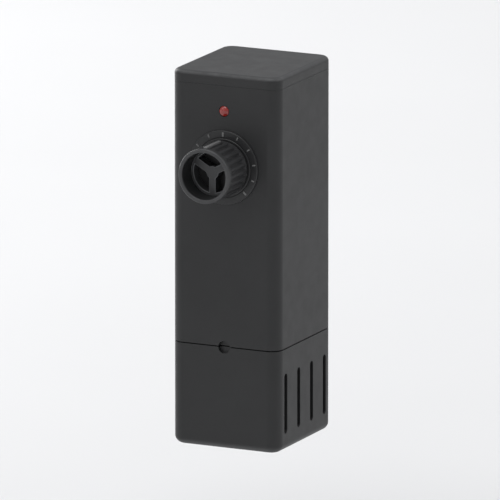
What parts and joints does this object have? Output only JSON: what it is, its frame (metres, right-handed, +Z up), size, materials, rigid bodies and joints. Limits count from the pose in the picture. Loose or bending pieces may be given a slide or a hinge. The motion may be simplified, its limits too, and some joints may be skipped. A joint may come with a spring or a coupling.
{
  "type": "submersible aquarium heater",
  "caption": "Compact boxed submersible heater for a small aquarium: slotted lower guard, temperature dial, hook-on suction-cup bracket.",
  "frame": {"origin": "on the glass, midway between the two suction cups", "axes": "+X to the right seen from the front, +Y from the dial towards the glass, +Z up along the housing"},
  "size_m": [0.0274, 0.05, 0.089],
  "materials": {
    "housing_plastic": "fine-textured moulded plastic, charcoal",
    "cover_plastic": "fine-textured moulded plastic, charcoal",
    "guard_plastic": "fine-textured moulded plastic, charcoal",
    "bracket_plastic": "moulded plastic, charcoal",
    "cup_rubber": "smooth translucent-edged rubber, dark grey",
    "seal_rubber": "matt black rubber",
    "silicone": "red-brown silicone",
    "inner_plastic": "natural moulded plastic",
    "tube_glass": "clear borosilicate glass",
    "ceramic": "unglazed ceramic, off-white",
    "coil_alloy": "oxidised resistance wire",
    "steel_plate": "plain steel sheet",
    "screw_steel": "plated steel",
    "shaft_steel": "turned stainless steel",
    "brass": "turned brass",
    "bimetal": "rolled bimetal strip",
    "contact_silver": "bright contact metal",
    "magnet": "dull magnet",
    "pin_plastic": "natural insulating plastic",
    "dial_plastic": "fine-textured moulded plastic, charcoal",
    "insert_plastic": "satin moulded plastic, dark grey",
    "pointer_plastic": "light grey moulded plastic",
    "scale_plastic": "satin moulded plastic, charcoal",
    "lens_plastic": "red clear plastic",
    "lamp_plastic": "red lamp body",
    "board": "lacquered circuit board",
    "capacitor_plastic": "yellow moulded case",
    "fuse_metal": "plain aluminium case",
    "lead_sleeve": "white wire sleeve",
    "line_sleeve": "brown wire sleeve",
    "neutral_sleeve": "blue wire sleeve"
  },
  "bodies": {
    "bracket": {"wall_bracket": "bracket_plastic", "lower_suction_cup": "cup_rubber", "upper_suction_cup": "cup_rubber"},
    "heater": {"housing": "housing_plastic", "top_cover": "cover_plastic", "top_gasket": "seal_rubber", "bulkhead": "inner_plastic", "bulkhead_seal": "seal_rubber", "heater_tube": "tube_glass", "tube_end_cap": "seal_rubber", "tube_gasket": "seal_rubber", "tube_clamp_plate": "steel_plate", "clamp_screws": "screw_steel", "tube_plug": "silicone", "ceramic_core": "ceramic", "heating_coil": "coil_alloy", "probe_pocket": "steel_plate", "probe_seal": "seal_rubber", "thermostat_frame": "steel_plate", "frame_screws": "screw_steel", "stack_spacers": "ceramic", "stack_rivet": "brass", "blade_foot": "brass", "contact_strip": "brass", "fixed_contact": "contact_silver", "snap_magnet": "magnet", "shaft_bushing": "brass", "bushing_gasket": "seal_rubber", "bushing_nut": "brass", "scale_ring": "scale_plastic", "pilot_lens": "lens_plastic", "pilot_lamp": "lamp_plastic", "lamp_board": "board", "terminal_block": "inner_plastic", "terminal_screws": "brass", "suppression_capacitor": "capacitor_plastic", "thermal_fuse": "fuse_metal", "coil_lead": "lead_sleeve", "fuse_wire": "lead_sleeve", "line_wire": "line_sleeve", "neutral_wire": "neutral_sleeve", "cord_grommet": "seal_rubber"},
    "guard": {"lower_guard": "guard_plastic"},
    "dial": {"dial_knob": "dial_plastic", "dial_insert": "insert_plastic", "dial_pointer": "pointer_plastic", "dial_shaft": "shaft_steel", "shaft_oring": "seal_rubber", "shaft_circlip": "shaft_steel"},
    "adjuster": {"adjuster_pin": "pin_plastic"},
    "blade": {"bimetal_blade": "bimetal", "moving_contact": "contact_silver"}
  },
  "joints": [
    {"name": "lift_off", "type": "slide", "parent": "bracket", "child": "heater", "axis": [0, 0, 1], "range_m": [0, 0.0105]},
    {"name": "guard_release", "type": "slide", "parent": "heater", "child": "guard", "axis": [0, 0, -1], "range_m": [0, 0.03]},
    {"name": "dial_turn", "type": "hinge", "parent": "heater", "child": "dial", "pos_m": [0, -0.039, 0.028], "axis": [0, 1, 0], "range_deg": [-135, 135]},
    {"name": "adjuster_travel", "type": "slide", "parent": "heater", "child": "adjuster", "axis": [0, 1, 0], "range_m": [-0.0005, 0.0005]},
    {"name": "blade_flex", "type": "hinge", "parent": "heater", "child": "blade", "pos_m": [0, -0.0236, 0.0227], "axis": [-1, 0, 0], "range_deg": [0, 3], "stiffness_Nm_per_rad": 0.01}
  ],
  "couplings": [
    {"joint": "adjuster_travel", "follows": "dial_turn", "m_per_rad": -0.00019894}
  ]
}
